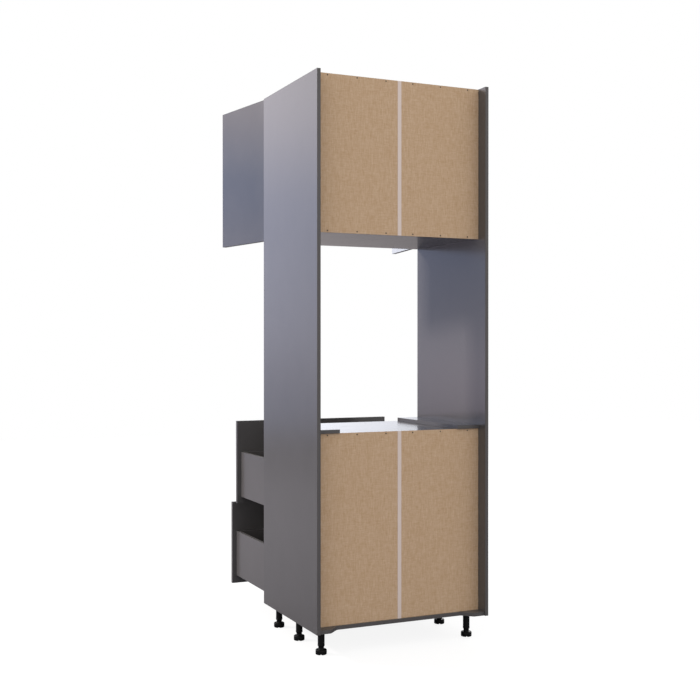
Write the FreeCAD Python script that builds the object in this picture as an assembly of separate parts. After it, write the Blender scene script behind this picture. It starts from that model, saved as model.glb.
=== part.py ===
import FreeCAD, Part
import os
from math import sqrt
from FreeCAD import Vector

# A tall kitchen unit that houses a built-in oven: drawers below, an open niche for the
# oven in the middle and a cupboard with a pair of doors above. Millimetres, +Z up, the
# fronts face -Y. Everything is laid out from the floor and from the plane of the
# carcass's front edges, and is moved at the end so that the origin is the middle of the
# floor under the whole object as it stands open.

# ---- driving dimensions ------------------------------------------------------------

# carcass
carcass_width = 762.0
carcass_depth = 592.0
carcass_height = 2168.5
board = 15.0
deck_top = 766.5            # top of the oven deck above the carcass's bottom edge
oven_niche_height = 782.5   # from the deck to the underside of the cupboard floor

# back panels, let into grooves in the side panels
back_thickness = 3.0
back_recess = 56.0          # from the side panels' rear edges to the back's rear face
back_top_reveal = 1.0
groove_depth = 6.0
groove_clearance = 0.2
joiner_width = 16.5
joiner_flange = 1.0
joiner_web = 2.0
nail_first = 60.0
nail_pitch = 127.0
nail_count = 3              # along one edge of one half of a back
nail_head_radius = 3.0
nail_head_height = 1.0
nail_shank_radius = 0.9
nail_length = 22.0

# base panel with an ear at each rear corner, and battens that carry the oven
base_overhang = 8.0         # base and battens past the back's rear face
ear_depth = 40.0
ear_length = 42.0
ogee_length = 52.0
batten_width = 102.0
batten_thickness = 15.0

# adjustable shelf in the cupboard
shelf_setback = 40.0
shelf_rear_gap = 13.0       # from the shelf's rear edge to the back
shelf_side_clearance = 1.0
pin_radius = 2.5
pin_depth = 8.0
pin_tongue = 10.0
pin_tongue_width = 12.0
pin_tongue_thickness = 3.0
pin_inset = 60.0
hole_pitch = 32.0
spare_holes = 2             # above and below the row in use

# knock-down fittings of the carcass
bolt_inset = 60.0
bolt_radius = 3.0
bolt_depth = 9.0
cam_radius = 7.5
cam_height = 12.0
cam_setback = 24.0
dowel_radius = 4.0
dowel_inset = 92.0
dowel_in_side = 10.0
dowel_in_board = 20.0
fit_clearance = 0.1

# adjustable legs
leg_height = 98.0
leg_inset = 53.5            # from the outer face of a side panel to a leg's axis
leg_front_inset = 45.0
leg_rear_inset = 87.0
leg_rows = 3
socket_radius = 22.0
socket_flange = 4.0
spigot_radius = 10.0
spigot_length = 20.0
tube_radius = 14.0
foot_radius = 22.25
foot_height = 20.0
foot_edge = 2.0
neck_height = 13.5
neck_waist_radius = 11.25
foot_notch_width = 9.0
foot_notch_depth = 4.0
foot_turn = 24.5            # degrees the notches are turned from the unit's sides
leg_screw_offset = 17.8
spindle_length = 26.0
leg_fit = 0.1

# fronts
front_thickness = 18.0
front_gap = 2.5             # from a closed front to the carcass
side_reveal = 2.5
between_fronts = 3.0
bottom_reveal = 1.5
deck_reveal = 5.0           # from the upper drawer front's top edge to the deck's surface
floor_lap = 5.5             # how far a closed door covers the cupboard floor's edge
top_reveal = 3.0
door_open_angle = 100.0

# concealed hinges
hinge_from_end = 100.0
axis_from_edge = 6.8        # hinge axis to the door's hinge edge
axis_depth = 10.0           # hinge axis below the door's inner face
cup_edge_distance = 3.0
cup_radius = 17.5
cup_bore_depth = 13.0
cup_wall = 1.0
cup_fit = 0.2
cup_flange = 1.0
cup_flange_radius = 19.0
cup_wing_reach = 28.0
cup_wing_width = 12.0
cup_screw_offset = 22.5
hinge_pin_radius = 1.0
hinge_pin_length = 15.0
eye_radius = 1.7
arm_half_width = 4.5
slot_half_width = 5.0
ear_width = 2.4
gooseneck_offset = 13.7
gooseneck_drop = 0.7
gooseneck_thickness = 2.0
arm_body_thickness = 10.0
arm_body_half_width = 6.5
arm_front = 8.0
arm_back = 60.0
plate_front = 15.0
plate_back = 62.0
plate_thickness = 5.5
plate_half_width = 8.0
plate_wing_thickness = 2.5
plate_wing_reach = 24.0
system_line = 37.0          # screw line behind the carcass's front edge
plate_screw_offset = 16.0
screw_radius = 2.0
screw_length = 11.0
screw_head_radius = 3.5
screw_head_height = 1.5

# drawer boxes
box_side_gap = 5.0          # between a drawer side and the carcass side
box_height = 206.5
box_rear_gap = 15.5         # from a closed drawer's rear end to the back
box_wall = 15.0
box_bottom_thickness = 12.0
box_bottom_lift = 12.0
box_groove_depth = 5.0
lower_box_lift = 37.0       # lower edge of the box above its front's lower edge
upper_box_lift = 29.5
lower_drawer_open = 427.5
upper_drawer_open = 360.5
front_screw_inset = 120.0
front_screw_height = 50.0
front_screw_pitch = 110.0

# full-extension runners under the drawers
rail_front = 4.0
rail_rear_gap = 29.0        # from the cabinet rail's rear end to the back
rail_sheet = 1.5
rail_gap = 0.5
rail_core_width = 12.0
rail_core_height = 13.0
rail_inset = 28.0           # from the carcass side to the core of the cabinet rail
rail_flange_height = 26.0
rail_screw_first = 37.0
rail_screw_pitch = 192.0
rail_screw_count = 3

# ---- derived sizes -----------------------------------------------------------------

half_width = carcass_width / 2
inner = half_width - board
bottom = leg_height
top = bottom + carcass_height
base_top = bottom + board
deck_face = bottom + deck_top
deck_under = deck_face - board
floor_under = deck_face + oven_niche_height
floor_face = floor_under + board
top_under = top - board
back_rear = carcass_depth - back_recess
back_front = back_rear - back_thickness
base_rear = back_rear + base_overhang
front_inner_face = -front_gap
front_outer_face = front_inner_face - front_thickness
front_half = half_width - side_reveal
door_width = front_half - between_fronts / 2
door_bottom = floor_face - floor_lap
door_height = top - top_reveal - door_bottom
lower_front_bottom = bottom + bottom_reveal
fronts_height = deck_face - deck_reveal - lower_front_bottom
drawer_front_height = (fronts_height - between_fronts) / 2
upper_front_bottom = lower_front_bottom + drawer_front_height + between_fronts
hinge_axis_x = front_half - axis_from_edge
hinge_axis_y = front_inner_face - axis_depth
cup_x = front_half - cup_edge_distance - cup_radius
box_half = inner - box_side_gap
box_inner = box_half - box_wall
box_length = back_front - box_rear_gap - front_inner_face
lower_box_bottom = lower_front_bottom + lower_box_lift
upper_box_bottom = upper_front_bottom + upper_box_lift
rail_length = back_front - rail_rear_gap - rail_front
reach = lower_drawer_open + front_gap + front_thickness
origin_shift = Vector(0, (reach - carcass_depth) / 2, 0)

UP = Vector(0, 0, 1)
pieces = {}


# ---- small helpers -----------------------------------------------------------------

def block(x0, x1, y0, y1, z0, z1):
    """A box between two values on each axis, given in either order."""
    low = Vector(min(x0, x1), min(y0, y1), min(z0, z1))
    return Part.makeBox(abs(x1 - x0), abs(y1 - y0), abs(z1 - z0), low)


def rod(radius, start, end):
    """A round bar from one point to another."""
    along = end.sub(start)
    return Part.makeCylinder(radius, along.Length, start, along)


def joined(shapes):
    """One solid out of pieces that meet."""
    return shapes[0].multiFuse(shapes[1:]).removeSplitter()


def without(shape, tools):
    """The shape with the tools' space taken out."""
    return shape.cut(Part.makeCompound(tools)) if tools else shape


def extruded(points, height, low):
    """A flat outline in X and Y raised to a height."""
    ring = Part.makePolygon([Vector(x, y, low) for x, y in points + points[:1]])
    return Part.Face(ring).extrude(Vector(0, 0, height))


# ---- carcass fittings: bolts with cams, and dowels ----------------------------------

def board_fittings(low, rear, sides=(1, -1)):
    """Fittings that hold one level board between the side panels, and their holes."""
    middle = low + board / 2
    found = {"bolts": [], "cams": [], "dowels": [], "side_holes": [], "board_holes": []}
    for side in sides:
        face = side * inner
        for y in (bolt_inset, rear - bolt_inset):
            cam_x = face - side * cam_setback
            outer_end = Vector(face + side * bolt_depth, y, middle)
            inner_end = Vector(cam_x, y, middle)
            roomy = bolt_radius + fit_clearance
            found["bolts"].append(rod(bolt_radius, outer_end, inner_end))
            found["side_holes"].append(rod(roomy, outer_end, Vector(face, y, middle)))
            found["board_holes"].append(rod(roomy, Vector(face, y, middle), inner_end))
            cam = rod(cam_radius, Vector(cam_x, y, low), Vector(cam_x, y, low + cam_height))
            found["cams"].append(cam.cut(rod(roomy, outer_end, inner_end)))
            pocket_top = Vector(cam_x, y, low + cam_height + fit_clearance)
            pocket = rod(cam_radius + fit_clearance, Vector(cam_x, y, low), pocket_top)
            found["board_holes"].append(pocket)
        for y in (dowel_inset, rear - dowel_inset):
            outer_end = Vector(face + side * dowel_in_side, y, middle)
            inner_end = Vector(face - side * dowel_in_board, y, middle)
            roomy = dowel_radius + fit_clearance
            found["dowels"].append(rod(dowel_radius, outer_end, inner_end))
            found["side_holes"].append(rod(roomy, outer_end, Vector(face, y, middle)))
            found["board_holes"].append(rod(roomy, Vector(face, y, middle), inner_end))
    return found


def on_side(holes, side):
    """Those of the holes that lie on one side of the unit."""
    return [hole for hole in holes if hole.CenterOfMass.x * side > 0]


board_rear = back_front
board_levels = {
    "top_panel": (top_under, board_rear),
    "cupboard_floor": (floor_under, board_rear),
    "oven_deck": (deck_under, board_rear),
    "base_panel": (bottom, board_rear),
}
fittings = {name: board_fittings(*level) for name, level in board_levels.items()}


# ---- nails through the backs' edges --------------------------------------------------

nail_xs = [side * (nail_first + step * nail_pitch) for side in (1, -1) for step in range(nail_count)]
nail_boards = {"top_panel": top_under, "cupboard_floor": floor_under, "oven_deck": deck_under}


def nail_hole(x, z):
    """Room for one nail's shank, from the back's rear face forward."""
    roomy = nail_shank_radius + fit_clearance
    return rod(roomy, Vector(x, back_rear, z), Vector(x, back_rear - nail_length, z))


def nail(x, z):
    """A flat-headed nail that stands on the back's rear face."""
    tip = Vector(x, back_rear - nail_length, z)
    seat = Vector(x, back_rear, z)
    head_top = Vector(x, back_rear + nail_head_height, z)
    return joined([rod(nail_shank_radius, tip, seat), rod(nail_head_radius, seat, head_top)])


nail_rows = {name: low + board / 2 for name, low in nail_boards.items()}
pieces["back_panel_nails"] = Part.makeCompound(
    [nail(x, z) for z in nail_rows.values() for x in nail_xs])


# ---- level boards ------------------------------------------------------------------

for name, low in nail_boards.items():
    plain = block(-inner, inner, 0, board_rear, low, low + board)
    holes = [nail_hole(x, nail_rows[name]) for x in nail_xs]
    pieces[name] = without(plain, fittings[name]["board_holes"] + holes)


def ogee_edge(side, start_x, start_y):
    """An S of two equal arcs from an ear's rear edge to the middle of the rear edge."""
    end_x = start_x - side * ogee_length
    end_y = start_y - ear_depth
    radius = (ogee_length ** 2 + ear_depth ** 2) / (4 * ear_depth)
    half = Vector((start_x + end_x) / 2, (start_y + end_y) / 2, bottom)
    reach_in = ogee_length / 4
    fall = radius - sqrt(radius ** 2 - reach_in ** 2)
    first = Part.Arc(Vector(start_x, start_y, bottom),
                     Vector(start_x - side * reach_in, start_y - fall, bottom), half)
    second = Part.Arc(half, Vector(end_x + side * reach_in, end_y + fall, bottom),
                      Vector(end_x, end_y, bottom))
    return [first.toShape(), second.toShape()]


def base_panel():
    """The lowest board: its rear edge swings out into an ear at each corner."""
    ear_rear = base_rear + ear_depth
    ear_inner = inner - ear_length
    corners = [Vector(-inner, ear_rear, bottom), Vector(-inner, 0, bottom),
               Vector(inner, 0, bottom), Vector(inner, ear_rear, bottom),
               Vector(ear_inner, ear_rear, bottom)]
    edges = [Part.makeLine(a, b) for a, b in zip(corners, corners[1:])]
    edges += ogee_edge(1, ear_inner, ear_rear)
    middle = ear_inner - ogee_length
    edges.append(Part.makeLine(Vector(middle, base_rear, bottom), Vector(-middle, base_rear, bottom)))
    edges += ogee_edge(-1, -ear_inner, ear_rear)
    edges.append(Part.makeLine(Vector(-ear_inner, ear_rear, bottom), corners[0]))
    outline = Part.Wire(Part.__sortEdges__(edges))
    return Part.Face(outline).extrude(Vector(0, 0, board))


pieces["base_panel"] = without(base_panel(), fittings["base_panel"]["board_holes"])


# ---- battens on the deck, one along each side ----------------------------------------

def batten_dowel_ends(side, y):
    """A batten's dowel stands upright, half in the deck and half in the batten."""
    x = side * (inner - batten_width / 2)
    reach_down = Vector(x, y, deck_face - dowel_in_side)
    reach_up = Vector(x, y, deck_face + dowel_in_side)
    return reach_down, reach_up


batten_dowels = []
for side, name in ((1, "right_batten"), (-1, "left_batten")):
    tool = []
    for y in (dowel_inset, board_rear - dowel_inset):
        low_end, high_end = batten_dowel_ends(side, y)
        batten_dowels.append(rod(dowel_radius, low_end, high_end))
        tool.append(rod(dowel_radius + fit_clearance, low_end, high_end))
    plain = block(side * (inner - batten_width), side * inner, 0, base_rear,
                  deck_face, deck_face + batten_thickness)
    pieces[name] = without(plain, tool)
    pieces["oven_deck"] = without(pieces["oven_deck"], tool)

pieces["carcass_dowels"] = Part.makeCompound(
    [dowel for found in fittings.values() for dowel in found["dowels"]] + batten_dowels)
pieces["cam_bolts"] = Part.makeCompound([bolt for found in fittings.values() for bolt in found["bolts"]])
pieces["cam_locks"] = Part.makeCompound([cam for found in fittings.values() for cam in found["cams"]])


# ---- backs of hardboard, in halves with a plastic joiner between them ------------------

back_spans = {
    "upper": (floor_under, top - back_top_reveal, floor_face, top_under),
    "lower": (base_top, deck_face, base_top, deck_under),
}
half_back_start = joiner_web / 2 + groove_clearance
for level, (low, high, clear_low, clear_high) in back_spans.items():
    holes = [nail_hole(x, z) for z in nail_rows.values() if low < z < high for x in nail_xs]
    for side, hand in ((1, "right"), (-1, "left")):
        sheet = block(side * half_back_start, side * (inner + groove_depth - groove_clearance),
                      back_front, back_rear, low, high)
        pieces[level + "_back_" + hand] = without(sheet, on_side(holes, side))
    half = joiner_width / 2
    rear_flange = block(-half, half, back_rear, back_rear + joiner_flange, low, high)
    web = block(-joiner_web / 2, joiner_web / 2, back_front, back_rear, low, high)
    front_flange = block(-half, half, back_front - joiner_flange, back_front, clear_low, clear_high)
    pieces[level + "_back_joiner"] = joined([rear_flange, web, front_flange])


# ---- shelf on four pins, halfway up the cupboard -----------------------------------------

shelf_under = (floor_face + top_under - board) / 2
shelf_rear = back_front - shelf_rear_gap
pin_ys = (shelf_setback + pin_inset, shelf_rear - pin_inset)
pieces["cupboard_shelf"] = block(-inner + shelf_side_clearance, inner - shelf_side_clearance,
                                 shelf_setback, shelf_rear, shelf_under, shelf_under + board)
pin_z = shelf_under - pin_tongue_thickness / 2


def shelf_pin(side, y):
    """A peg in the side panel with a flat tongue under the shelf."""
    peg = rod(pin_radius, Vector(side * inner, y, pin_z), Vector(side * (inner + pin_depth), y, pin_z))
    tongue = block(side * (inner - pin_tongue), side * inner, y - pin_tongue_width / 2,
                   y + pin_tongue_width / 2, shelf_under - pin_tongue_thickness, shelf_under)
    return joined([peg, tongue])


pieces["shelf_pins"] = Part.makeCompound([shelf_pin(side, y) for side in (1, -1) for y in pin_ys])


def shelf_pin_holes(side):
    """The row of holes that lets the shelf be set higher or lower."""
    found = []
    for y in pin_ys:
        for step in range(-spare_holes, spare_holes + 1):
            z = pin_z + step * hole_pitch
            end = Vector(side * (inner + pin_depth + fit_clearance), y, z)
            found.append(rod(pin_radius + fit_clearance, Vector(side * inner, y, z), end))
    return found


# ---- concealed hinges: plate and arm on the carcass, cup and pin on the door ------------

hinge_levels = (door_bottom + hinge_from_end, door_bottom + door_height - hinge_from_end)


def screw_along_x(side, face, y, z):
    """A pan-head screw that goes into a side panel; its head lies on the face."""
    head_seat = Vector(side * face, y, z)
    head_top = Vector(side * (face - screw_head_height), y, z)
    tip = Vector(side * (face + screw_length), y, z)
    return joined([rod(screw_radius, head_seat, tip), rod(screw_head_radius, head_top, head_seat)])


def hinge_plate(side, z):
    """A cross-shaped plate on the side panel's inner face."""
    body = block(side * (inner - plate_thickness), side * inner, plate_front, plate_back,
                 z - plate_half_width, z + plate_half_width)
    wing = block(side * (inner - plate_wing_thickness), side * inner, system_line - plate_half_width,
                 system_line + plate_half_width, z - plate_wing_reach, z + plate_wing_reach)
    holes = [rod(screw_radius + fit_clearance, Vector(side * (inner - plate_thickness), system_line, z + dz),
                 Vector(side * inner, system_line, z + dz)) for dz in (-plate_screw_offset, plate_screw_offset)]
    return without(joined([body, wing]), holes)


def hinge_arm(side, z):
    """A bar on the plate that bends round the door's edge to an eye on the hinge axis."""
    arm_face = inner - plate_thickness
    elbow_x = hinge_axis_x - gooseneck_offset
    elbow_y = hinge_axis_y - gooseneck_drop
    half = gooseneck_thickness / 2
    body = block(side * (arm_face - arm_body_thickness), side * arm_face, arm_front, arm_back,
                 z - arm_body_half_width, z + arm_body_half_width)
    bridge = block(side * (arm_face - half), side * (elbow_x + half), arm_front, plate_front - half,
                   z - arm_half_width, z + arm_half_width)
    neck = block(side * (elbow_x - half), side * (elbow_x + half), elbow_y - half, plate_front - half,
                 z - arm_half_width, z + arm_half_width)
    low = z - arm_half_width
    height = 2 * arm_half_width
    toe = extruded([(side * (elbow_x - half), elbow_y - half), (side * elbow_x, elbow_y - half),
                    (side * hinge_axis_x, hinge_axis_y - half), (side * hinge_axis_x, hinge_axis_y + half),
                    (side * (elbow_x + half), elbow_y + half), (side * (elbow_x - half), elbow_y + half)],
                   height, low)
    eye = Part.makeCylinder(eye_radius, height, Vector(side * hinge_axis_x, hinge_axis_y, low), UP)
    arm = joined([body, bridge, neck, toe, eye])
    bore = hinge_pin_radius + fit_clearance / 2
    hole = Part.makeCylinder(bore, height, Vector(side * hinge_axis_x, hinge_axis_y, low), UP)
    return arm.cut(hole)


def hinge_cup(side, z):
    """A pressed dish in the door with a flange and two ears that hold the pin."""
    centre = Vector(side * cup_x, front_inner_face, z)
    into_door = Vector(0, -1, 0)
    outer_radius = cup_radius - cup_fit
    depth = cup_bore_depth - cup_fit
    dish = Part.makeCylinder(outer_radius, depth, centre, into_door)
    hollow = Part.makeCylinder(outer_radius - cup_wall, depth - cup_wall, centre, into_door)
    ears = []
    for level in (-1, 1):
        near = z + level * slot_half_width
        far = z + level * (slot_half_width + ear_width)
        ear = block(side * (hinge_axis_x - 2 * eye_radius), side * (hinge_axis_x + 2 * eye_radius),
                    hinge_axis_y - 2 * eye_radius, hinge_axis_y + 2 * eye_radius, near, far)
        ears.append(ear.common(dish))
    shell = joined([dish.cut(hollow)] + ears)
    flange_seat = Vector(side * cup_x, front_inner_face, z)
    ring = Part.makeCylinder(cup_flange_radius, cup_flange, flange_seat, Vector(0, 1, 0))
    wings = block(side * (cup_x - cup_wing_width / 2), side * (cup_x + cup_wing_width / 2),
                  front_inner_face, front_inner_face + cup_flange, z - cup_wing_reach, z + cup_wing_reach)
    mouth = Part.makeCylinder(outer_radius - cup_wall, cup_flange, flange_seat, Vector(0, 1, 0))
    flange = joined([ring, wings]).cut(mouth)
    slot = block(side * (cup_x + 2 * eye_radius), side * (front_half), front_inner_face + cup_flange,
                 front_inner_face - depth, z - slot_half_width, z + slot_half_width)
    roomy = screw_radius + fit_clearance
    screw_holes = [Part.makeCylinder(roomy, cup_flange, Vector(side * cup_x, front_inner_face, z + dz),
                                     Vector(0, 1, 0)) for dz in (-cup_screw_offset, cup_screw_offset)]
    pin_room = rod(hinge_pin_radius + fit_clearance / 2,
                   Vector(side * hinge_axis_x, hinge_axis_y, z - hinge_pin_length / 2),
                   Vector(side * hinge_axis_x, hinge_axis_y, z + hinge_pin_length / 2))
    return without(joined([shell, flange]), [slot, pin_room] + screw_holes)


def cup_screw(side, z):
    """A screw that holds a cup's flange to the door."""
    seat = Vector(side * cup_x, front_inner_face + cup_flange, z)
    tip = Vector(side * cup_x, front_inner_face + cup_flange - screw_length, z)
    crown = Vector(side * cup_x, front_inner_face + cup_flange + screw_head_height / 2, z)
    return joined([rod(screw_radius, tip, seat), rod(screw_head_radius, seat, crown)])


pieces["hinge_plates"] = Part.makeCompound([hinge_plate(side, z) for side in (1, -1) for z in hinge_levels])
pieces["hinge_arms"] = Part.makeCompound([hinge_arm(side, z) for side in (1, -1) for z in hinge_levels])
plate_screw_zs = [z + dz for z in hinge_levels for dz in (-plate_screw_offset, plate_screw_offset)]


def door(side):
    """A plain slab with a bore for each hinge cup and pilot holes for its screws."""
    slab = block(side * (front_half - door_width), side * front_half, front_outer_face,
                 front_inner_face, door_bottom, door_bottom + door_height)
    holes = []
    for z in hinge_levels:
        mouth = Vector(side * cup_x, front_inner_face, z)
        holes.append(Part.makeCylinder(cup_radius, cup_bore_depth, mouth, Vector(0, -1, 0)))
        for dz in (-cup_screw_offset, cup_screw_offset):
            pilot = Vector(side * cup_x, front_inner_face, z + dz)
            depth = screw_length - cup_flange + fit_clearance
            holes.append(Part.makeCylinder(screw_radius + fit_clearance, depth, pilot, Vector(0, -1, 0)))
    return without(slab, holes)


def opened(shape, side):
    """A door's piece turned about the hinge axis from closed to open."""
    turned = shape.copy()
    turned.rotate(Vector(side * hinge_axis_x, hinge_axis_y, 0), UP, side * door_open_angle)
    return turned


for side, hand in ((1, "right"), (-1, "left")):
    pin_start = -hinge_pin_length / 2
    pins = [rod(hinge_pin_radius, Vector(side * hinge_axis_x, hinge_axis_y, z + pin_start),
                Vector(side * hinge_axis_x, hinge_axis_y, z - pin_start)) for z in hinge_levels]
    screws = [cup_screw(side, z + dz) for z in hinge_levels for dz in (-cup_screw_offset, cup_screw_offset)]
    cups = [hinge_cup(side, z) for z in hinge_levels]
    pieces[hand + "_door"] = opened(door(side), side)
    pieces[hand + "_hinge_cups"] = opened(Part.makeCompound(cups), side)
    pieces[hand + "_hinge_pins"] = opened(Part.makeCompound(pins), side)
    pieces[hand + "_cup_screws"] = opened(Part.makeCompound(screws), side)


# ---- runners: three nested sheet-steel rails under each side of a drawer ----------------

def nested_rail(side, order, box_bottom):
    """A downward channel; order counts outwards from the core of the cabinet rail."""
    core_middle = inner - rail_inset - rail_core_width / 2
    spread = rail_core_width / 2 + order * (rail_sheet + rail_gap)
    crown = box_bottom - rail_foot_drop + rail_core_height + order * (rail_sheet + rail_gap)
    foot = box_bottom - rail_foot_drop + (rail_sheet + rail_gap if order else 0)
    walls = []
    for edge in (-1, 1):
        outer_x = core_middle + edge * spread
        walls.append(block(side * outer_x, side * (outer_x - edge * rail_sheet), rail_front,
                           rail_front + rail_length, foot, crown))
    cap = block(side * (core_middle - spread), side * (core_middle + spread), rail_front,
                rail_front + rail_length, crown - rail_sheet, crown)
    return joined(walls + [cap])


rail_foot_drop = rail_core_height + 2 * (rail_sheet + rail_gap) - box_bottom_lift
rail_screw_ys = [rail_screw_first + step * rail_screw_pitch for step in range(rail_screw_count)]


def cabinet_rail(side, box_bottom):
    """The fixed rail: a flange on the side panel, a shelf under the drawer side, a core."""
    foot = box_bottom - rail_foot_drop
    core_outer = inner - rail_inset
    flange = block(side * (inner - rail_sheet), side * inner, rail_front, rail_front + rail_length,
                   foot, foot + rail_flange_height)
    web = block(side * core_outer, side * inner, rail_front, rail_front + rail_length,
                foot, foot + rail_sheet)
    rail = joined([flange, web, nested_rail(side, 0, box_bottom)])
    screw_z = foot + rail_flange_height / 2
    holes = [rod(screw_radius + fit_clearance, Vector(side * (inner - rail_sheet), y, screw_z),
                 Vector(side * inner, y, screw_z)) for y in rail_screw_ys]
    return without(rail, holes)


def rail_screw_height(box_bottom):
    """Level of the screws that hold a cabinet rail."""
    return box_bottom - rail_foot_drop + rail_flange_height / 2


hardware_screws = []
side_screw_holes = []


def add_side_screw(side, face, y, z):
    """One screw into a side panel, with its pilot hole."""
    hardware_screws.append(screw_along_x(side, face, y, z))
    pilot_end = Vector(side * (face + screw_length + fit_clearance), y, z)
    side_screw_holes.append(rod(screw_radius + fit_clearance, Vector(side * inner, y, z), pilot_end))


for side in (1, -1):
    for z in plate_screw_zs:
        add_side_screw(side, inner - plate_wing_thickness, system_line, z)
    for box_bottom in (lower_box_bottom, upper_box_bottom):
        for y in rail_screw_ys:
            add_side_screw(side, inner - rail_sheet, y, rail_screw_height(box_bottom))
pieces["hardware_screws"] = Part.makeCompound(hardware_screws)


# ---- side panels --------------------------------------------------------------------

def side_panel(side):
    """A full-height side with stopped grooves for the backs and all its blind holes."""
    slab = block(side * inner, side * half_width, 0, carcass_depth, bottom, top)
    tools = []
    for low, high, _, _ in back_spans.values():
        tools.append(block(side * inner, side * (inner + groove_depth), back_front - groove_clearance,
                           back_rear + groove_clearance, low, high))
    for found in fittings.values():
        tools += on_side(found["side_holes"], side)
    tools += shelf_pin_holes(side) + on_side(side_screw_holes, side)
    return without(slab, tools)


pieces["right_side_panel"] = side_panel(1)
pieces["left_side_panel"] = side_panel(-1)


# ---- drawers ------------------------------------------------------------------------

drawers = {
    "lower": (lower_box_bottom, lower_front_bottom, lower_drawer_open),
    "upper": (upper_box_bottom, upper_front_bottom, upper_drawer_open),
}


def front_screw_places(box_bottom):
    """Where the front is screwed on from inside the box: four places."""
    rows = (front_screw_height, front_screw_height + front_screw_pitch)
    return [(x, box_bottom + row) for x in (box_inner - front_screw_inset, front_screw_inset - box_inner)
            for row in rows]


def front_screw(x, z):
    """A screw from the inside of the box into the back of the drawer front."""
    seat = Vector(x, front_inner_face + box_wall, z)
    tip = Vector(x, front_inner_face - screw_length, z)
    crown = Vector(x, front_inner_face + box_wall + screw_head_height, z)
    return joined([rod(screw_radius, tip, seat), rod(screw_head_radius, seat, crown)])


def front_screw_hole(x, z):
    """Room for a front's screw through the box wall and into the front."""
    roomy = screw_radius + fit_clearance
    end = Vector(x, front_inner_face - screw_length - fit_clearance, z)
    return rod(roomy, Vector(x, front_inner_face + box_wall, z), end)


for level, (box_bottom, front_bottom, opening) in drawers.items():
    box_front = front_inner_face
    box_rear = box_front + box_length
    panel_low = box_bottom + box_bottom_lift
    panel_high = panel_low + box_bottom_thickness
    box_top = box_bottom + box_height
    places = front_screw_places(box_bottom)
    screw_room = [front_screw_hole(x, z) for x, z in places]
    drawer = {}
    slab = block(-front_half, front_half, front_outer_face, front_inner_face,
                 front_bottom, front_bottom + drawer_front_height)
    drawer["front"] = without(slab, screw_room)
    for side, hand in ((1, "right"), (-1, "left")):
        wall = block(side * box_inner, side * box_half, box_front, box_rear, box_bottom, box_top)
        groove = block(side * box_inner, side * (box_inner + box_groove_depth), box_front, box_rear,
                       panel_low, panel_high)
        drawer[hand + "_side"] = wall.cut(groove)
    tongue = box_inner + box_groove_depth
    drawer["bottom"] = block(-tongue, tongue, box_front, box_rear, panel_low, panel_high)
    drawer["back"] = block(-box_inner, box_inner, box_rear - box_wall, box_rear, panel_high, box_top)
    inner_front = block(-box_inner, box_inner, box_front, box_front + box_wall, panel_high, box_top)
    drawer["inner_front"] = without(inner_front, screw_room)
    drawer["front_screws"] = Part.makeCompound([front_screw(x, z) for x, z in places])
    drawer["rails"] = Part.makeCompound([nested_rail(side, 2, box_bottom) for side in (1, -1)])
    for name, shape in drawer.items():
        shape.translate(Vector(0, -opening, 0))
        pieces[level + "_drawer_" + name] = shape
    middles = Part.makeCompound([nested_rail(side, 1, box_bottom) for side in (1, -1)])
    middles.translate(Vector(0, -opening / 2, 0))
    pieces[level + "_middle_rails"] = middles
    pieces[level + "_cabinet_rails"] = Part.makeCompound([cabinet_rail(side, box_bottom) for side in (1, -1)])


# ---- legs: socket on the base panel, tube, and a foot that screws into the tube ----------

leg_pitch = (carcass_depth - leg_rear_inset - leg_front_inset) / (leg_rows - 1)
leg_ys = [leg_front_inset + row * leg_pitch for row in range(leg_rows)]
leg_spots = [(side * (half_width - leg_inset), y) for side in (1, -1) for y in leg_ys]
tube_bottom = foot_height + neck_height
tube_top = bottom - socket_flange


def leg_screw(x, y, turn):
    """A screw up through the socket's flange into the base panel."""
    seat = Vector(x, y + turn * leg_screw_offset, tube_top)
    crown = seat - Vector(0, 0, screw_head_height)
    return joined([rod(screw_radius, seat, seat + Vector(0, 0, screw_length)),
                   rod(screw_head_radius, crown, seat)])


def leg_screw_room(x, y, turn):
    """Room for one of those screws in the flange and in the base panel."""
    seat = Vector(x, y + turn * leg_screw_offset, tube_top)
    return rod(screw_radius + fit_clearance, seat, seat + Vector(0, 0, screw_length + fit_clearance))


def leg_socket(x, y):
    """A round flange under the base panel with a spigot for the tube."""
    flange = Part.makeCylinder(socket_radius, socket_flange, Vector(x, y, tube_top), UP)
    spigot = Part.makeCylinder(spigot_radius, spigot_length, Vector(x, y, tube_top - spigot_length), UP)
    return without(joined([flange, spigot]), [leg_screw_room(x, y, turn) for turn in (-1, 1)])


def leg_tube(x, y):
    """The round leg, open at both ends."""
    length = tube_top - tube_bottom
    outside = Part.makeCylinder(tube_radius, length, Vector(x, y, tube_bottom), UP)
    bore = Part.makeCylinder(spigot_radius + leg_fit, length, Vector(x, y, tube_bottom), UP)
    return outside.cut(bore)


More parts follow.
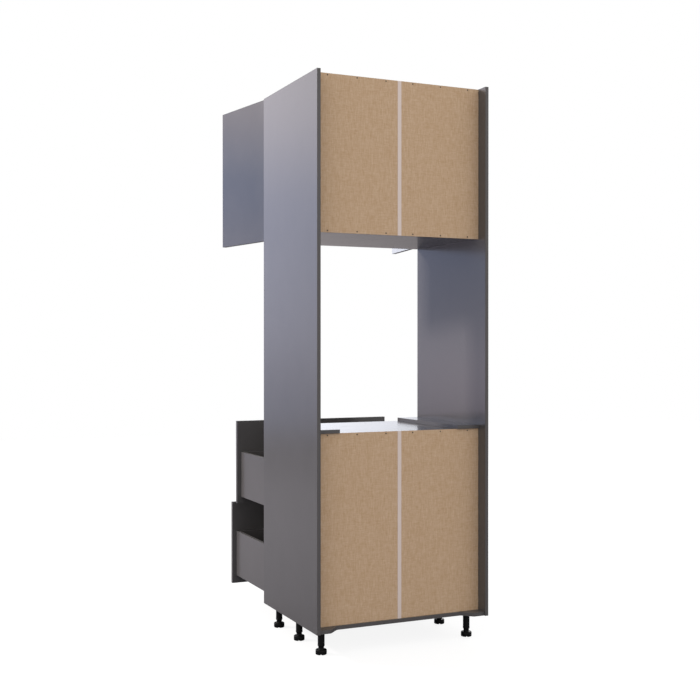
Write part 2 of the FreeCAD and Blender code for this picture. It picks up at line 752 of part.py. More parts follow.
def foot(x, y):
    """A turned foot: notched base, waisted neck and a spindle up inside the tube."""
    spindle = spigot_radius
    spindle_top = tube_bottom + spindle_length
    waist_z = foot_height + neck_height / 3
    corners = [Vector(0, 0, 0), Vector(foot_radius - foot_edge, 0, 0), Vector(foot_radius, 0, foot_edge),
               Vector(foot_radius, 0, foot_height - foot_edge), Vector(foot_radius - foot_edge, 0, foot_height),
               Vector(neck_waist_radius + foot_edge, 0, foot_height), Vector(neck_waist_radius, 0, waist_z),
               Vector(neck_waist_radius, 0, waist_z + neck_height / 3),
               Vector(tube_radius - foot_edge / 2, 0, tube_bottom), Vector(spindle, 0, tube_bottom),
               Vector(spindle, 0, spindle_top), Vector(0, 0, spindle_top), Vector(0, 0, 0)]
    turned = Part.Face(Part.makePolygon(corners)).revolve(Vector(0, 0, 0), UP, 360)
    half = foot_notch_width / 2
    ridge = [Vector(-half, -foot_radius, 0), Vector(half, -foot_radius, 0),
             Vector(0, -foot_radius, foot_notch_depth), Vector(-half, -foot_radius, 0)]
    notch = Part.Face(Part.makePolygon(ridge)).extrude(Vector(0, 2 * foot_radius, 0))
    notch.rotate(Vector(0, 0, 0), UP, -foot_turn)
    crossing = notch.copy()
    crossing.rotate(Vector(0, 0, 0), UP, 90)
    shaped = turned.cut(notch).cut(crossing)
    shaped.translate(Vector(x, y, 0))
    return shaped


screw_room = [leg_screw_room(x, y, turn) for x, y in leg_spots for turn in (-1, 1)]
pieces["base_panel"] = without(pieces["base_panel"], screw_room)
pieces["leg_screws"] = Part.makeCompound(
    [leg_screw(x, y, turn) for x, y in leg_spots for turn in (-1, 1)])
pieces["leg_sockets"] = Part.makeCompound([leg_socket(x, y) for x, y in leg_spots])
pieces["leg_tubes"] = Part.makeCompound([leg_tube(x, y) for x, y in leg_spots])
for side, hand in ((1, "right"), (-1, "left")):
    for row, y in enumerate(leg_ys, start=1):
        pieces[hand + "_foot_" + str(row)] = foot(side * (half_width - leg_inset), y)


# ---- write each piece ---------------------------------------------------------------

os.makedirs("parts", exist_ok=True)
for name, shape in pieces.items():
    shape.translate(origin_shift)
    shape.exportStep("parts/" + name + ".step")
print(len(pieces), "pieces")
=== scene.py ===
# A tall kitchen unit that houses a built-in oven, standing open on a white ground and seen
# from behind. It is built up here in the order in which the real unit is put together, in
# metres, with the fronts facing -Y.
import math

import bpy
from mathutils import Matrix, Vector


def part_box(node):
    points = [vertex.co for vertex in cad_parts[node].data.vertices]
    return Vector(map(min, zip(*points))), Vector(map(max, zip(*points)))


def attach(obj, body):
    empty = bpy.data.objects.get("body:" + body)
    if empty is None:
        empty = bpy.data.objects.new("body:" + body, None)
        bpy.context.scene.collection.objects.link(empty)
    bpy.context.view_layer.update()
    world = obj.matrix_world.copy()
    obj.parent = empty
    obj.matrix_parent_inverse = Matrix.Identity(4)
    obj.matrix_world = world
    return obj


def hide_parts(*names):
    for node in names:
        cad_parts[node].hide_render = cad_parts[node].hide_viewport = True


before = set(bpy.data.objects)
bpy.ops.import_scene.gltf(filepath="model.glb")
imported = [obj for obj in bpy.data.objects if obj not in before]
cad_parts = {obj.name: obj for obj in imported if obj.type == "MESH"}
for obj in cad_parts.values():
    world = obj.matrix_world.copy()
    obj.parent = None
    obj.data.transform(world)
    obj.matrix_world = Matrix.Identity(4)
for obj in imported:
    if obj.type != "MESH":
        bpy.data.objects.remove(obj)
bpy.ops.object.select_all(action="DESELECT")
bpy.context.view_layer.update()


# ---- side panels --------------------------------------------------------------------
# Two full-height panels of 15 mm chipboard, faced with grey melamine foil and banded on all
# four edges. Their inner faces are grooved for the backs and drilled for the shelf pins.

def linear(code):
    """A colour written as sRGB hex, as the linear value that a shader takes."""
    parts = [int(code[at:at + 2], 16) / 255 for at in (1, 3, 5)]
    return [p / 12.92 if p <= 0.04045 else ((p + 0.055) / 1.055) ** 2.4 for p in parts] + [1.0]


def add_node(tree, kind, settings=None, links=None):
    """One node in a material, with its settings and what feeds it."""
    made = tree.nodes.new(kind)
    for name, value in (settings or {}).items():
        if isinstance(name, str) and hasattr(made, name):
            setattr(made, name, value)
        else:
            made.inputs[name].default_value = value
    for name, source in (links or {}).items():
        tree.links.new(source, made.inputs[name])
    return made


def start_finish(name, settings):
    """A material with its shader, and the coordinates of the piece that wears it."""
    finish = bpy.data.materials.new(name)
    finish.use_nodes = True
    tree = finish.node_tree
    tree.nodes.clear()
    shader = add_node(tree, "ShaderNodeBsdfPrincipled", settings)
    add_node(tree, "ShaderNodeOutputMaterial", {}, {"Surface": shader.outputs[0]})
    return finish, tree, shader, add_node(tree, "ShaderNodeTexCoord").outputs["Object"]


def two_tones(tree, shader, share, low, high, low_rough, high_rough):
    """Colour and roughness that both go from one value to another with a pattern."""
    tone = add_node(tree, "ShaderNodeMix", {"data_type": "RGBA", 6: linear(low), 7: linear(high)},
                    {0: share})
    rough = add_node(tree, "ShaderNodeMapRange", {"To Min": low_rough, "To Max": high_rough},
                     {"Value": share})
    tree.links.new(tone.outputs[2], shader.inputs["Base Color"])
    tree.links.new(rough.outputs[0], shader.inputs["Roughness"])


def emboss(tree, shader, height, strength, depth):
    """Relief from a pattern, its depth in metres."""
    relief = add_node(tree, "ShaderNodeBump", {"Strength": strength, "Distance": depth},
                      {"Height": height})
    tree.links.new(relief.outputs[0], shader.inputs["Normal"])


def melamine(name, low, high, low_rough, high_rough):
    """Melamine foil, pressed under a satin plate: even colour with a faint cloud in it, a
    pearl about 1.5 mm across that only glancing light shows, and a clear sheen at a low angle."""
    finish, tree, shader, place = start_finish(name, {"IOR": 1.5})
    cloud = add_node(tree, "ShaderNodeTexNoise", {"Scale": 9.0, "Detail": 4.0}, {"Vector": place})
    pearl = add_node(tree, "ShaderNodeTexNoise", {"Scale": 650.0, "Detail": 1.0}, {"Vector": place})
    two_tones(tree, shader, cloud.outputs[0], low, high, low_rough, high_rough)
    emboss(tree, shader, pearl.outputs[0], 0.05, 0.00001)
    return finish


def chipboard():
    """Bare chipboard inside a hole or groove: pale chips 3 mm long, with dark specks between."""
    finish, tree, shader, place = start_finish("bare_chipboard", {"IOR": 1.45})
    chips = add_node(tree, "ShaderNodeTexVoronoi", {"Scale": 420.0}, {"Vector": place})
    two_tones(tree, shader, chips.outputs["Distance"], "#a98a63", "#6f5438", 0.8, 0.95)
    emboss(tree, shader, chips.outputs["Distance"], 0.6, 0.0004)
    return finish


foil = melamine("melamine_foil", "#545252", "#595757", 0.17, 0.21)
band = melamine("abs_edge_band", "#535050", "#585554", 0.36, 0.42)
seam = melamine("glue_line", "#3e3c3c", "#444141", 0.5, 0.6)
bare = chipboard()


def alone(piece):
    """Selects one piece and nothing else."""
    bpy.ops.object.select_all(action="DESELECT")
    piece.select_set(True)
    bpy.context.view_layer.objects.active = piece


def settle(piece):
    """Puts a piece's place into its mesh, with its object at the origin."""
    alone(piece)
    bpy.ops.object.transform_apply(location=True, rotation=True, scale=True)
    return piece


def bevel_edges(piece, width, segments=2):
    """Takes every edge of a piece off by the same width."""
    alone(piece)
    bpy.ops.object.mode_set(mode="EDIT")
    bpy.ops.mesh.select_all(action="SELECT")
    bpy.ops.mesh.bevel(offset=width, segments=segments, affect="EDGES")
    bpy.ops.object.mode_set(mode="OBJECT")
    return piece


def cut_block(name, low, high, width=0.0, segments=2):
    """A square block between two corners, its edges eased."""
    low, high = Vector(low), Vector(high)
    bpy.ops.mesh.primitive_cube_add(size=1, location=(low + high) / 2, scale=high - low)
    block = settle(bpy.context.object)
    block.name = name
    return bevel_edges(block, width, segments) if width else block


def dress_board(board, face, edge, joint):
    """Foil on the two broad faces, band on the four edges and a glue line between them."""
    size = board.dimensions
    thin = min(range(3), key=lambda axis: size[axis])
    for finish in (face, edge, joint):
        board.data.materials.append(finish)
    for polygon in board.data.polygons:
        square = max(abs(part) for part in polygon.normal) > 0.999
        flat = abs(polygon.normal[thin]) > 0.999
        polygon.material_index = 0 if flat else 1 if square else 2


def saw_board(name, low, high, eased=0.0005, finishes=None):
    """A banded board between two corners."""
    board = cut_block(name, low, high, eased)
    dress_board(board, *(finishes or (foil, band, seam)))
    return board


def drill(name, radius, start, end, sides=24):
    """A round bar from one point to another, as a drill leaves it."""
    start, end = Vector(start), Vector(end)
    along = end - start
    turn = along.to_track_quat("Z", "Y").to_euler()
    bpy.ops.mesh.primitive_cylinder_add(vertices=sides, radius=radius, depth=along.length,
                                        location=(start + end) / 2, rotation=turn)
    bar = settle(bpy.context.object)
    bar.name = name
    return bar


def join_up(name, parts):
    """Several loose meshes as one piece."""
    alone(parts[0])
    for part in parts[1:]:
        part.select_set(True)
    if len(parts) > 1:
        bpy.ops.object.join()
    parts[0].name = name
    return parts[0]


def carve(piece, tools, how="DIFFERENCE", lining=None):
    """Takes tools out of a piece, or welds them on, and throws the tools away."""
    tool = join_up("tool", tools)
    if lining and not tool.data.materials:
        tool.data.materials.append(lining)
    alone(piece)
    step = piece.modifiers.new("carve", "BOOLEAN")
    step.operation = how
    step.solver = "EXACT"
    step.material_mode = "TRANSFER"
    step.use_self = len(tools) > 1
    step.object = tool
    bpy.ops.object.modifier_apply(modifier=step.name)
    bpy.data.objects.remove(tool, do_unlink=True)
    return piece


def wear(piece, finish):
    """Puts one finish all over a piece."""
    piece.data.materials.clear()
    piece.data.materials.append(finish)
    for polygon in piece.data.polygons:
        polygon.material_index = 0


def fit(piece, body, nodes):
    """Hands a finished piece over to the body that it moves with."""
    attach(piece, body)
    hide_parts(*nodes)


hands = (("right", 1), ("left", -1))
inner_face = 0.366             # from the unit's middle to a side panel's inner face
groove_depth = 0.006
groove_clearance = 0.0002
pin_rows = (0.028, 0.388)      # front and rear rows of holes
pin_level = 1.94775            # axis of the pins in use, with two spare holes above and below
pin_pitch = 0.032
pin_hole_radius = 0.0026
pin_hole_depth = 0.0081
past = 0.001                   # how far a cutting tool starts outside the face that it cuts
for hand, side in hands:
    low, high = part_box(hand + "_side_panel")
    panel = saw_board("side_" + hand, low, high)
    inner = side * inner_face
    start = inner - side * past
    cuts = []
    for level in ("upper", "lower"):
        back_low, back_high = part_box(level + "_back_left")
        ends = sorted((start, inner + side * groove_depth))
        cuts.append(cut_block("cut", (ends[0], back_low[1] - groove_clearance, back_low[2]),
                              (ends[1], back_high[1] + groove_clearance, back_high[2])))
    for y in pin_rows:
        for step in range(-2, 3):
            z = pin_level + step * pin_pitch
            cuts.append(drill("cut", pin_hole_radius, (start, y, z), (inner + side * pin_hole_depth, y, z)))
    carve(panel, cuts, lining=bare)
    fit(panel, "carcass", [hand + "_side_panel"])


# ---- level boards -------------------------------------------------------------------
# The top, the cupboard floor and the oven deck are plain boards of the same stuff. They butt
# against the side panels, and the backs cover their rear edges.

for name in ("top_panel", "cupboard_floor", "oven_deck"):
    low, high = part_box(name)
    level_board = saw_board(name.replace("_panel", "_board") + "_sawn", low, high)
    fit(level_board, "carcass", [name])


# ---- base panel ----------------------------------------------------------------------
# The lowest board runs on past the back in the corners: each rear corner has an ear, which
# falls to the middle of the edge in a gentle S, routed after the board is sawn. Its faces are
# matt, because they don't show in use.

def draw_wire(name, points):
    """A bent line: one point, drawn out from place to place."""
    bpy.ops.mesh.primitive_plane_add(size=0.001, location=points[0])
    wire = settle(bpy.context.object)
    wire.name = name
    bpy.ops.object.mode_set(mode="EDIT")
    bpy.ops.mesh.select_all(action="SELECT")
    bpy.ops.mesh.merge(type="CENTER")
    for start, end in zip(points, points[1:]):
        bpy.ops.mesh.extrude_region_move(TRANSFORM_OT_translate={"value": Vector(end) - Vector(start)})
    bpy.ops.object.mode_set(mode="OBJECT")
    return wire


def raise_outline(name, points, shift):
    """A closed outline, filled and drawn out into a solid."""
    solid = draw_wire(name, points + points[:1])
    bpy.ops.object.mode_set(mode="EDIT")
    bpy.ops.mesh.select_all(action="SELECT")
    bpy.ops.mesh.remove_doubles(threshold=0.00001)
    bpy.ops.mesh.edge_face_add()
    bpy.ops.mesh.extrude_region_move(TRANSFORM_OT_translate={"value": shift})
    bpy.ops.mesh.select_all(action="SELECT")
    bpy.ops.mesh.normals_make_consistent(inside=False)
    bpy.ops.object.mode_set(mode="OBJECT")
    return solid


def rout_base():
    """The base board. The S of an ear is two equal rounds with the straight that touches both."""
    low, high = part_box("base_panel")
    ear_rear = high[1]
    ear_inner = 0.324
    fall, run = 0.040, 0.052
    radius = 0.013
    straight_fall = fall - 2 * radius
    opening = math.atan2(straight_fall, run) + math.asin(2 * radius / math.hypot(run, straight_fall))
    first, second = [], []
    for step in range(9):
        angle = opening * step / 8
        aside, down = radius * math.sin(angle), radius * (1 - math.cos(angle))
        first.append((ear_inner - aside, ear_rear - down))
        second.append((ear_inner - run + aside, ear_rear - fall + down))
    right = [(high[0], low[1]), (high[0], ear_rear)] + first + second[::-1]
    outline = right + [(-x, y) for x, y in reversed(right)]
    board = raise_outline("base_board", [(x, y, low[2]) for x, y in outline], (0, 0, high[2] - low[2]))
    ease = board.modifiers.new("ease", "BEVEL")
    ease.width = 0.0005
    ease.segments = 2
    ease.limit_method = "ANGLE"
    ease.angle_limit = math.radians(40)
    bpy.ops.object.modifier_apply(modifier=ease.name)
    for finish in (matt_foil, band):
        board.data.materials.append(finish)
    for polygon in board.data.polygons:
        polygon.material_index = 0 if abs(polygon.normal.z) > 0.999 else 1
    return board


matt_foil = melamine("matt_melamine", "#545252", "#595757", 0.42, 0.52)
fit(rout_base(), "carcass", ["base_panel"])


# ---- battens on the deck -------------------------------------------------------------
# A strip of board lies flat along each side of the oven deck and runs on over the back's top
# edge. Both are dowelled down, and the oven stands on them.

for hand in ("right", "left"):
    low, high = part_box(hand + "_batten")
    fit(saw_board("batten_" + hand, low, high), "carcass", [hand + "_batten"])


# ---- backs ---------------------------------------------------------------------------
# Each back is two sheets of 3 mm hardboard that slide into the side panels' grooves. The
# rear face is bare brown fibre with an upright lie. The front face is lacquered grey.

def hardboard():
    """Hardboard, felted from wood fibre and pressed hot: fibres 2 mm wide and 25 mm long, drawn
    coarser than they are so that they show, crossed by fainter ones, over a slight mottling."""
    finish, tree, shader, place = start_finish("bare_hardboard", {"IOR": 1.45, "Specular IOR Level": 0.25})
    upright = add_node(tree, "ShaderNodeMapping", {"Scale": (1.0, 1.0, 0.10)}, {"Vector": place})
    level = add_node(tree, "ShaderNodeMapping", {"Scale": (0.12, 1.0, 1.0)}, {"Vector": place})
    fibre = add_node(tree, "ShaderNodeTexNoise", {"Scale": 430.0, "Detail": 4.0, "Roughness": 0.6},
                     {"Vector": upright.outputs[0]})
    weft = add_node(tree, "ShaderNodeTexNoise", {"Scale": 400.0, "Detail": 4.0, "Roughness": 0.6},
                    {"Vector": level.outputs[0]})
    mottle = add_node(tree, "ShaderNodeTexNoise", {"Scale": 60.0, "Detail": 5.0, "Roughness": 0.7},
                      {"Vector": place})
    lie = add_node(tree, "ShaderNodeMath", {"operation": "MULTIPLY_ADD", 1: 0.7},
                   {0: weft.outputs[0], 2: fibre.outputs[0]})
    felt = add_node(tree, "ShaderNodeMath", {"operation": "MULTIPLY_ADD", 1: 0.22},
                    {0: mottle.outputs[0], 2: lie.outputs[0]})
    share = add_node(tree, "ShaderNodeMapRange", {"From Min": 0.66, "From Max": 1.26},
                     {"Value": felt.outputs[0]})
    two_tones(tree, shader, share.outputs[0], "#bf9b77", "#d9be9f", 0.86, 0.72)
    emboss(tree, shader, felt.outputs[0], 0.35, 0.0002)
    return finish


fibre_face = hardboard()
lacquer = melamine("grey_lacquer", "#545252", "#595757", 0.4, 0.5)
for level in ("upper", "lower"):
    for hand in ("right", "left"):
        node = level + "_back_" + hand
        low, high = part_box(node)
        sheet = cut_block("back_" + level + "_" + hand, low, high, 0.0003)
        for finish in (fibre_face, lacquer):
            sheet.data.materials.append(finish)
        for polygon in sheet.data.polygons:
            polygon.material_index = 1 if polygon.normal.y < -0.999 else 0
        fit(sheet, "carcass", [node])


# ---- back joiners --------------------------------------------------------------------
# Between the two sheets of each back runs an H-shaped strip of extruded PVC, pale and matt.
# Its rear flange laps both sheets by 8 mm and shows as a light line down the back.

def rigid_pvc():
    """Extruded rigid PVC: very even, with die lines 1 mm apart along its length."""
    finish, tree, shader, place = start_finish("rigid_pvc", {"IOR": 1.53})
    along = add_node(tree, "ShaderNodeMapping", {"Scale": (1.0, 1.0, 0.01)}, {"Vector": place})
    lines = add_node(tree, "ShaderNodeTexNoise", {"Scale": 900.0, "Detail": 2.0},
                     {"Vector": along.outputs[0]})
    two_tones(tree, shader, lines.outputs[0], "#e1d0c7", "#e9d9d0", 0.42, 0.52)
    emboss(tree, shader, lines.outputs[0], 0.2, 0.00005)
    return finish


pale_pvc = rigid_pvc()
eased_lip = 0.0003
half_web = 0.001
for level, under, over in (("upper", "cupboard_floor", "top_panel"), ("lower", "base_panel", "oven_deck")):
    node = level + "_back_joiner"
    low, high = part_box(node)
    sheet_low, sheet_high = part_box(level + "_back_left")
    strip = cut_block("joiner_" + level, (low[0], sheet_high[1], low[2]), high, eased_lip, 3)
    web = cut_block("web", (-half_web, sheet_low[1] - 0.0005, low[2]),
                    (half_web, sheet_high[1] + 0.0005, high[2]))
    front = cut_block("front", (low[0], low[1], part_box(under)[1][2]),
                      (high[0], sheet_low[1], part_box(over)[0][2]), eased_lip, 3)
    carve(strip, [web], "UNION")
    carve(strip, [front], "UNION")
    wear(strip, pale_pvc)
    fit(strip, "carcass", [node])


# ---- nails ---------------------------------------------------------------------------
# Blued steel nails with low domed heads, 22 mm long, are driven through the backs into the
# rear edges of three boards. Their heads show as small dark dots.

def smooth(piece, angle=38):
    """Rounds the shading, and keeps edges sharper than an angle."""
    alone(piece)
    bpy.ops.object.shade_smooth_by_angle(angle=math.radians(angle))
    return piece


def lathe(name, profile, steps=32):
    """A profile of (radius, height) pairs turned round the Z axis."""
    turned = draw_wire(name, [(radius, 0, height) for radius, height in profile])
    bpy.ops.object.mode_set(mode="EDIT")
    bpy.ops.mesh.select_all(action="SELECT")
    bpy.ops.mesh.spin(steps=steps, angle=2 * math.pi, center=(0, 0, 0), axis=(0, 0, 1))
    bpy.ops.mesh.select_all(action="SELECT")
    bpy.ops.mesh.remove_doubles(threshold=0.000005)
    bpy.ops.mesh.select_all(action="SELECT")
    bpy.ops.mesh.normals_make_consistent(inside=False)
    bpy.ops.object.mode_set(mode="OBJECT")
    return smooth(turned)


def set_down(piece, place, toward=(0, 0, 1)):
    """Turns a piece made upright at the origin to face a way, and puts it in its place."""
    piece.rotation_euler = Vector(toward).to_track_quat("Z", "Y").to_euler()
    piece.location = place
    return settle(piece)


def another(piece, name):
    """A copy of a piece with a mesh of its own."""
    alone(piece)
    bpy.ops.object.duplicate()
    twin = bpy.context.object
    twin.name = name
    return twin


def plated(name, low, high, low_rough, high_rough, scale, stretch):
    """Steel with a thin bright plating. Its drawing or brushing leaves fine lines, which are
    made about 1 mm apart here so that they show, and a slight cloud in the shine."""
    finish, tree, shader, place = start_finish(name, {"Metallic": 1.0})
    along = add_node(tree, "ShaderNodeMapping", {"Scale": stretch}, {"Vector": place})
    lines = add_node(tree, "ShaderNodeTexNoise", {"Scale": scale, "Detail": 3.0},
                     {"Vector": along.outputs[0]})
    cloud = add_node(tree, "ShaderNodeTexNoise", {"Scale": 60.0, "Detail": 3.0}, {"Vector": place})
    share = add_node(tree, "ShaderNodeMath", {"operation": "MULTIPLY", 1: 0.5}, {0: lines.outputs[0]})
    total = add_node(tree, "ShaderNodeMath", {"operation": "MULTIPLY_ADD", 1: 0.5},
                     {0: cloud.outputs[0], 2: share.outputs[0]})
    two_tones(tree, shader, total.outputs[0], low, high, low_rough, high_rough)
    emboss(tree, shader, lines.outputs[0], 0.15, 0.00003)
    return finish


blued_steel = plated("blued_steel", "#453e3a", "#6a5f58", 0.35, 0.5, 900.0, (1.0, 1.0, 1.0))
nail = lathe("nail", [(0, -0.0220), (0.0004, -0.0208), (0.0009, -0.0190), (0.0009, -0.0003),
                      (0.0024, 0), (0.0029, 0.0002), (0.0029, 0.0004), (0.0022, 0.0008),
                      (0.0010, 0.00098), (0, 0.0010)], 16)
wear(nail, blued_steel)
back_rear = 0.464
nail_rows = (2.2590, 1.6545, 0.8570)          # top, cupboard floor and oven deck
nail_columns = (-0.314, -0.187, -0.060, 0.060, 0.187, 0.314)
for row, z in enumerate(nail_rows):
    for column, x in enumerate(nail_columns):
        driven = set_down(another(nail, f"nail_{row}_{column}"), (x, back_rear, z), (0, 1, 0))
        fit(driven, "carcass", ["back_panel_nails"])
bpy.data.objects.remove(nail, do_unlink=True)


# ---- shelf and its pins --------------------------------------------------------------
# A loose shelf of the same board halfway up the cupboard. It lies on four nickel-plated
# pins, each pushed into a 5 mm hole of the side panel.

low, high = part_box("cupboard_shelf")
fit(saw_board("shelf_sawn", low, high), "carcass", ["cupboard_shelf"])


def ease_along(piece, axis, width, segments=4):
    """Rounds only the edges that run along one axis."""
    alone(piece)
    mesh = piece.data
    bpy.ops.object.mode_set(mode="EDIT")
    bpy.ops.mesh.select_mode(type="EDGE")
    bpy.ops.mesh.select_all(action="DESELECT")
    bpy.ops.object.mode_set(mode="OBJECT")
    for edge in mesh.edges:
        run = mesh.vertices[edge.vertices[1]].co - mesh.vertices[edge.vertices[0]].co
        edge.select = abs(run.normalized()[axis]) > 0.999
    bpy.ops.object.mode_set(mode="EDIT")
    bpy.ops.mesh.bevel(offset=width, segments=segments, affect="EDGES")
    bpy.ops.mesh.select_mode(type="VERT")
    bpy.ops.object.mode_set(mode="OBJECT")
    return piece


nickel = plated("nickel_plated_steel", "#a8a49c", "#c4c0b8", 0.20, 0.32, 700.0, (1.0, 1.0, 0.2))
peg = lathe("shelf_pin", [(0, 0.0079), (0.0018, 0.0079), (0.0025, 0.0072), (0.0025, 0.0004),
                          (0.0024, 0), (0.0024, -0.0010), (0, -0.0010)])
set_down(peg, (inner_face, pin_rows[0], pin_level), (1, 0, 0))
tongue = ease_along(cut_block("tongue", (0.356, 0.022, 1.94625), (0.3659, 0.034, 1.94925)), 2, 0.0025)
bevel_edges(tongue, 0.0002, 1)
carve(peg, [tongue], "UNION")
wear(peg, nickel)
row_gap = 0.360
for number, (side, shift) in enumerate(((1, 0), (1, row_gap), (-1, 0), (-1, row_gap))):
    pin = another(peg, f"shelf_pin_{number}")
    pin.location.y = shift
    settle(pin)
    if side < 0:
        pin.data.transform(Matrix.Scale(-1, 4, (1, 0, 0)))
        pin.data.flip_normals()
    fit(smooth(pin), "carcass", ["shelf_pins"])
bpy.data.objects.remove(peg, do_unlink=True)


# ---- cams, bolts and dowels ----------------------------------------------------------
# Each board is drawn against the side panels by a steel bolt and a turning cam in its lower
# face, and a grey cap hides the cam. Beech dowels beside them keep the boards in line.

def cap_plastic():
    """The caps and the like: polyamide with a fine spark-eroded grain, about 0.5 mm."""
    finish, tree, shader, place = start_finish("grey_polyamide", {"IOR": 1.53})
    grain = add_node(tree, "ShaderNodeTexNoise", {"Scale": 1800.0, "Detail": 2.0}, {"Vector": place})
    two_tones(tree, shader, grain.outputs[0], "#514e4e", "#5a5757", 0.42, 0.52)
    emboss(tree, shader, grain.outputs[0], 0.3, 0.00004)
    return finish


grey_cap = cap_plastic()
cam = lathe("cam", [(0, 0), (0.0055, 0.00005), (0.0068, 0.0003), (0.00735, 0.0009),
                    (0.0074, 0.0018), (0.0074, 0.0114), (0.0070, 0.0119), (0, 0.0119)], 36)
wear(cam, grey_cap)
number = 0
for name in ("top_panel", "cupboard_floor", "oven_deck", "base_panel"):
    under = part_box(name)[0][2]
    for x in (-0.342, 0.342):
        for y in (-0.012, 0.401):
            number += 1
            lock = set_down(another(cam, f"cam_{number}"), (x, y, under))
            fit(lock, "carcass", ["cam_locks"])
bpy.data.objects.remove(cam, do_unlink=True)


def beech():
    """Turned beech: pale, with short dark flecks 2 mm long that lie along the dowel."""
    finish, tree, shader, place = start_finish("turned_beech", {"IOR": 1.45})
    lie = add_node(tree, "ShaderNodeMapping", {"Scale": (0.25, 1.0, 1.0)}, {"Vector": place})
    fleck = add_node(tree, "ShaderNodeTexNoise", {"Scale": 1400.0, "Detail": 3.0},
                     {"Vector": lie.outputs[0]})
    two_tones(tree, shader, fleck.outputs[0], "#b98d5f", "#dcb98c", 0.7, 0.55)
    emboss(tree, shader, fleck.outputs[0], 0.3, 0.0001)
    return finish


def dress_node(name, finish):
    """Gives a solid that keeps its own shape a finish."""
    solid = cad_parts[name]
    solid.data.materials.clear()
    solid.data.materials.append(finish)


zinc = plated("zinc_plated_steel", "#a9acb0", "#c8cacc", 0.30, 0.44, 420.0, (1.0, 0.02, 1.0))
dress_node("cam_bolts", zinc)
dress_node("carcass_dowels", beech())


# ---- hinge plates and arms -----------------------------------------------------------
# Two concealed hinges hold each door. A nickel-plated plate is screwed to the side panel, and
# an arm on it bends round the door's edge to the hinge's axis.

axis_x, axis_y = 0.3717, -0.0845
hinge_levels = (1.7565, 2.1635)
screw_line = -0.035                    # 37 mm behind the side panels' front edges
plate_screw_heights = (-0.016, 0.016)  # above and below the middle of a plate


def cross_slot(reach, half_width, floor):
    """The tools that cut a cross into a screw's head."""
    top = 0.003
    return [cut_block("slot", (-reach, -half_width, floor), (reach, half_width, top)),
            cut_block("slot", (-half_width, -reach, floor), (half_width, reach, top))]


screw = lathe("pan_head", [(0, -0.0105), (0.0006, -0.0100), (0.0019, -0.0075), (0.0019, 0),
                           (0.0033, 0), (0.0035, 0.0003), (0.0034, 0.0008), (0.0026, 0.0013),
                           (0.0012, 0.0015), (0, 0.0015)], 24)
carve(screw, cross_slot(0.0019, 0.00035, 0.0005))
wear(screw, zinc)


def drive(name, place, toward, body, node):
    """One more pan-head screw."""
    fit(smooth(set_down(another(screw, name), place, toward)), body, [node])


def across(piece, name):
    """The same piece for the other side of the unit, mirrored."""
    twin = another(piece, name)
    twin.data.transform(Matrix.Scale(-1, 4, (1, 0, 0)))
    twin.data.flip_normals()
    return twin


def raised(piece, name, z):
    """The same piece at another level."""
    twin = another(piece, name)
    twin.location.z = z
    return settle(twin)


plate = ease_along(cut_block("plate", (0.3635, -0.043, -0.024), (0.366, -0.027, 0.024)), 0, 0.0075, 6)
bevel_edges(plate, 0.0003, 2)
spine = ease_along(cut_block("spine", (0.3605, -0.057, -0.008), (0.3655, -0.010, 0.008)), 0, 0.002, 4)
bevel_edges(spine, 0.0005, 2)
carve(plate, [spine], "UNION")
carve(plate, [drill("hole", 0.0021, (0.362, screw_line, z), (0.367, screw_line, z))
              for z in plate_screw_heights])
wear(plate, nickel)

set_screws = (-0.041, -0.054)
neck_half_width = 0.0045
arm = ease_along(cut_block("arm", (0.3505, -0.064, -0.0065), (0.3604, -0.012, 0.0065)), 1, 0.0028, 5)
ease_along(arm, 0, 0.0008, 2)
carve(arm, [cut_block("trough", (0.3490, -0.030, -0.0042), (0.3530, -0.0135, 0.0042), 0.0006)]
      + [drill("bore", 0.0030, (0.349, y, 0), (0.3525, y, 0), 32) for y in set_screws])
for y in set_screws:
    head = lathe("set_screw", [(0, -0.002), (0.0026, -0.002), (0.0026, 0.0008), (0.0022, 0.0012),
                               (0, 0.0012)], 24)
    carve(head, cross_slot(0.0018, 0.0003, 0.0004))
    set_down(head, (0.3526, y, 0), (-1, 0, 0))
    carve(arm, [head], "UNION")
elbow_x, elbow_y = 0.3580, -0.0852
bend = [(elbow_x, -0.0600), (elbow_x, elbow_y + 0.0009), (elbow_x + 0.0003, elbow_y + 0.0003),
        (elbow_x + 0.0009, elbow_y), (axis_x, axis_y)]
neck = draw_wire("neck", [(x, y, -neck_half_width) for x, y in bend])
bpy.ops.object.mode_set(mode="EDIT")
bpy.ops.mesh.select_all(action="SELECT")
bpy.ops.mesh.extrude_region_move(TRANSFORM_OT_translate={"value": (0, 0, 2 * neck_half_width)})
bpy.ops.object.mode_set(mode="OBJECT")
wall = neck.modifiers.new("wall", "SOLIDIFY")
wall.thickness = 0.0019
wall.offset = 0.0
bpy.ops.object.modifier_apply(modifier=wall.name)
alone(neck)
bpy.ops.object.mode_set(mode="EDIT")
bpy.ops.mesh.select_all(action="SELECT")
bpy.ops.mesh.normals_make_consistent(inside=False)
bpy.ops.object.mode_set(mode="OBJECT")
carve(arm, [neck], "UNION")
carve(arm, [drill("eye", 0.0017, (axis_x, axis_y, -neck_half_width), (axis_x, axis_y, neck_half_width))],
      "UNION")
carve(arm, [drill("bore", 0.00105, (axis_x, axis_y, -0.006), (axis_x, axis_y, 0.006))])
wear(arm, nickel)

for which, z in enumerate(hinge_levels):
    for master, node in ((plate, "hinge_plates"), (arm, "hinge_arms")):
        one = raised(master, f"{master.name}_right_{which}", z)
        other = across(one, f"{master.name}_left_{which}")
        for made in (one, other):
            fit(smooth(made), "carcass", [node])
    for hand, side in hands:
        for end in plate_screw_heights:
            drive(f"plate_screw_{hand}_{which}_{int(end * 1000)}", (side * 0.3635, screw_line, z + end),
                  (-side, 0, 0), "carcass", "hardware_screws")
for master in (plate, arm):
    bpy.data.objects.remove(master, do_unlink=True)


